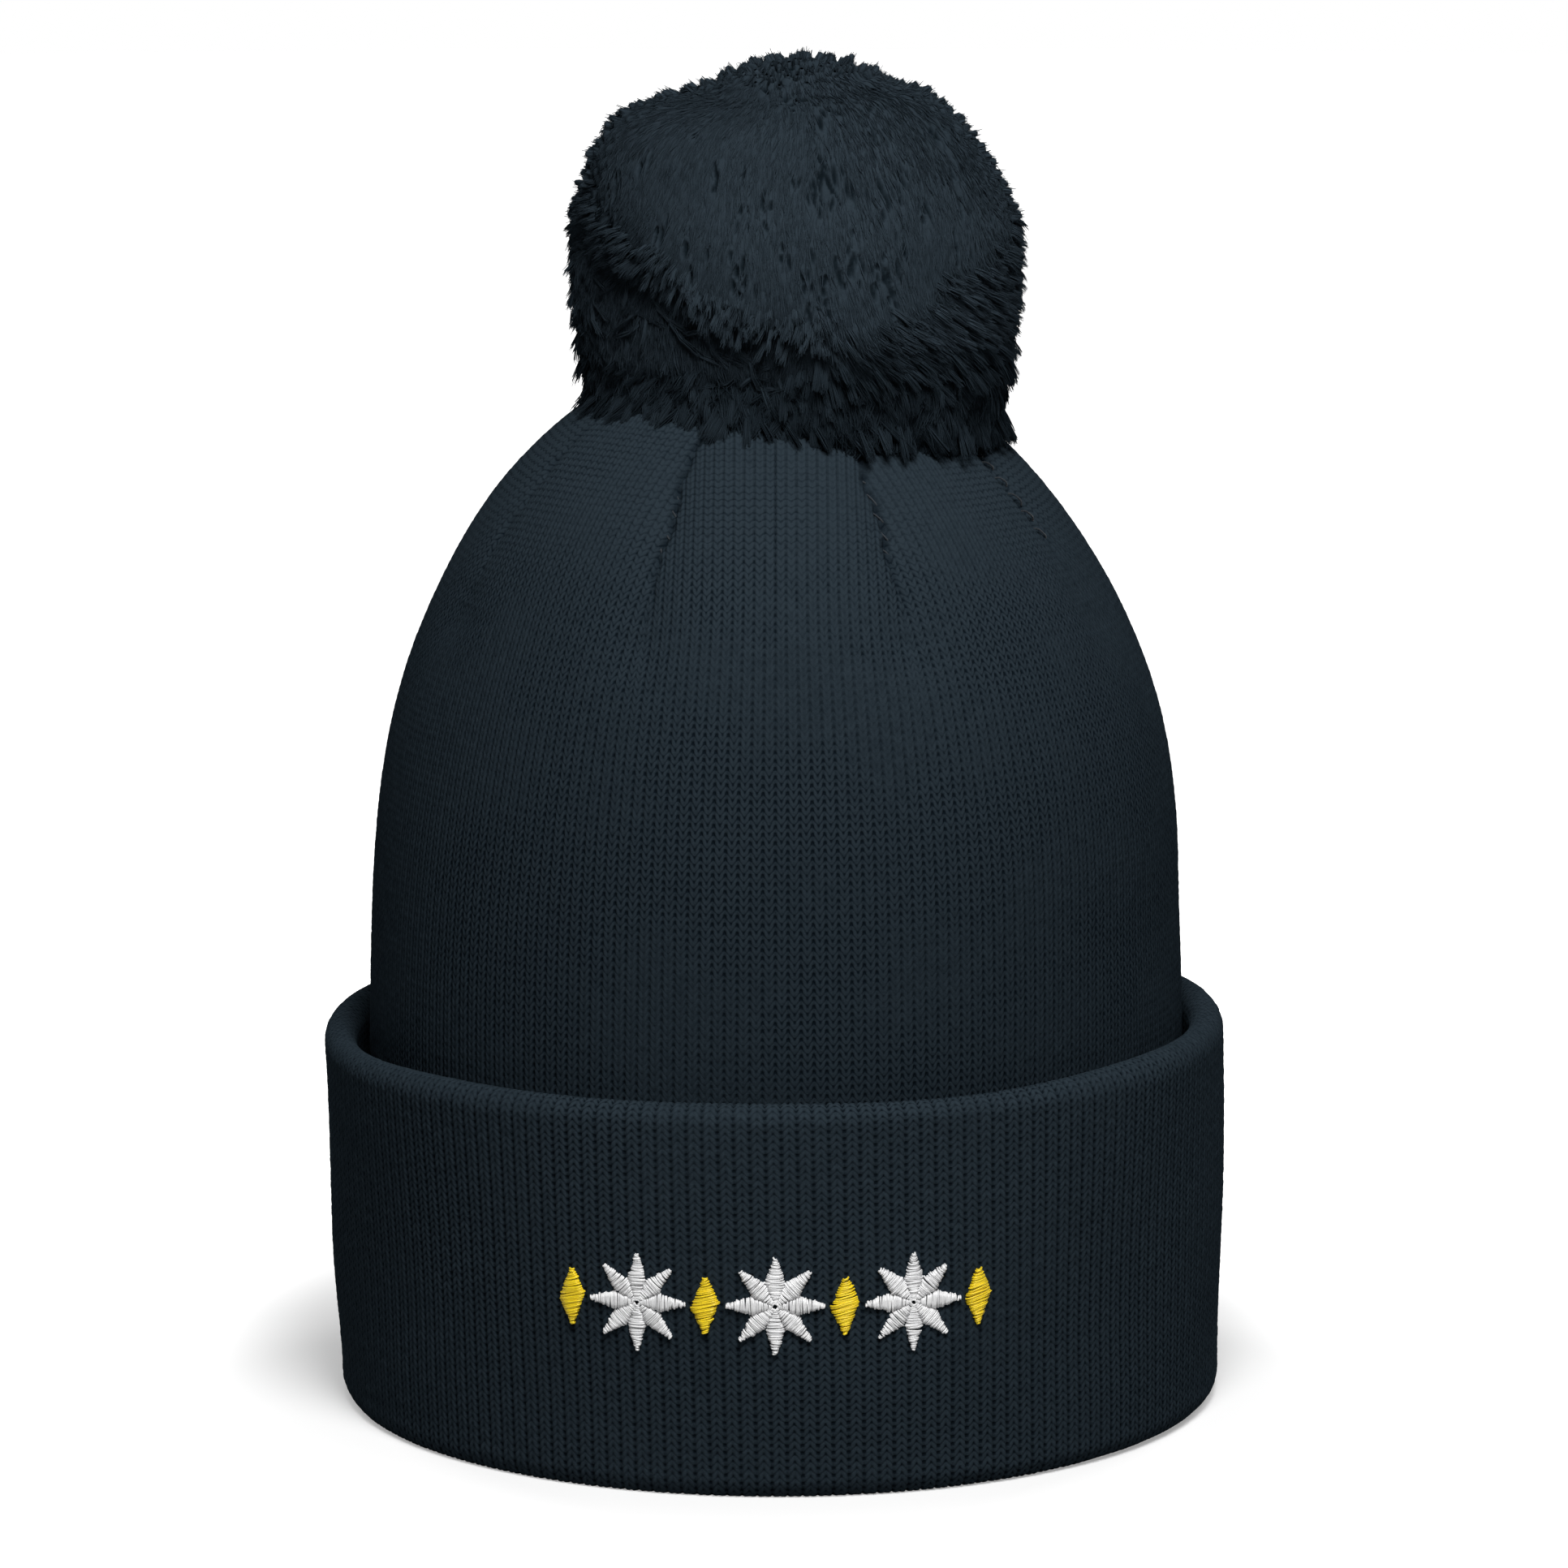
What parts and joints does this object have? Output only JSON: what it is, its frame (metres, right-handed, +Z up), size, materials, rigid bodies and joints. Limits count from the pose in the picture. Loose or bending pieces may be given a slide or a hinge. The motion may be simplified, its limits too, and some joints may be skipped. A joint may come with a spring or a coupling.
{
  "type": "cuffed knit beanie with pom-pom",
  "caption": "Rib-knit winter beanie: gathered double-ply crown with a yarn pom-pom on its tip, a deep turned-up cuff and a small embroidered row on the cuff front",
  "frame": {"origin": "on the floor under the middle of the hat, at the centre of the turned-up edge it stands on", "axes": "+Z up through the crown to the pom-pom, -Y out of the front of the cuff where the embroidery is, +X to the right of the picture"},
  "size_m": [0.1974, 0.198, 0.2933],
  "materials": {
    "knit_yarn": "dark navy acrylic rib knit, matt",
    "cuff_yarn": "dark navy acrylic rib knit, matt, stretched over the fold",
    "lining_yarn": "dark navy acrylic knit, inner ply",
    "pom_yarn": "dark navy cut yarn, plush",
    "sewing_thread": "dark navy sewing thread",
    "white_thread": "off-white satin embroidery thread",
    "yellow_thread": "yellow satin embroidery thread",
    "backing_felt": "thin non-woven stabiliser sheet"
  },
  "bodies": {
    "cuff": {"cuff_face": "cuff_yarn", "cuff_back": "knit_yarn", "cuff_rim": "cuff_yarn", "cuff_turn_up": "cuff_yarn", "embroidery_backing": "backing_felt", "embroidered_star_1": "white_thread", "embroidered_star_2": "white_thread", "embroidered_star_3": "white_thread", "embroidered_lozenge_1": "yellow_thread", "embroidered_lozenge_2": "yellow_thread", "embroidered_lozenge_3": "yellow_thread", "embroidered_lozenge_4": "yellow_thread"},
    "crown": {"crown_shell": "knit_yarn", "crown_lining": "lining_yarn", "closing_stitch": "sewing_thread", "dart_stitch_1": "sewing_thread", "dart_stitch_2": "sewing_thread", "dart_stitch_3": "sewing_thread", "dart_stitch_4": "sewing_thread", "dart_stitch_5": "sewing_thread", "dart_stitch_6": "sewing_thread", "dart_stitch_7": "sewing_thread", "dart_stitch_8": "sewing_thread"},
    "pom_tie": {"tie_tail": "pom_yarn", "pom_skirt": "pom_yarn"},
    "pom": {"pom_strands": "pom_yarn", "pom_binding": "pom_yarn", "tie_stem": "pom_yarn"}
  },
  "joints": [
    {"name": "cuff_turn_down", "type": "slide", "parent": "cuff", "child": "crown", "axis": [0, 0, 1], "range_m": [0, 0.07]},
    {"name": "pom_swivel", "type": "hinge", "parent": "crown", "child": "pom_tie", "pos_m": [0, 0, 0.2363], "axis": [0, 0, 1], "range_deg": [-90, 90], "stiffness_Nm_per_rad": 0.004},
    {"name": "pom_tilt", "type": "hinge", "parent": "pom_tie", "child": "pom", "pos_m": [0, 0, 0.2363], "axis": [1, 0, 0], "range_deg": [-12, 12], "stiffness_Nm_per_rad": 0.12, "deforming": ["pom_skirt"]}
  ]
}
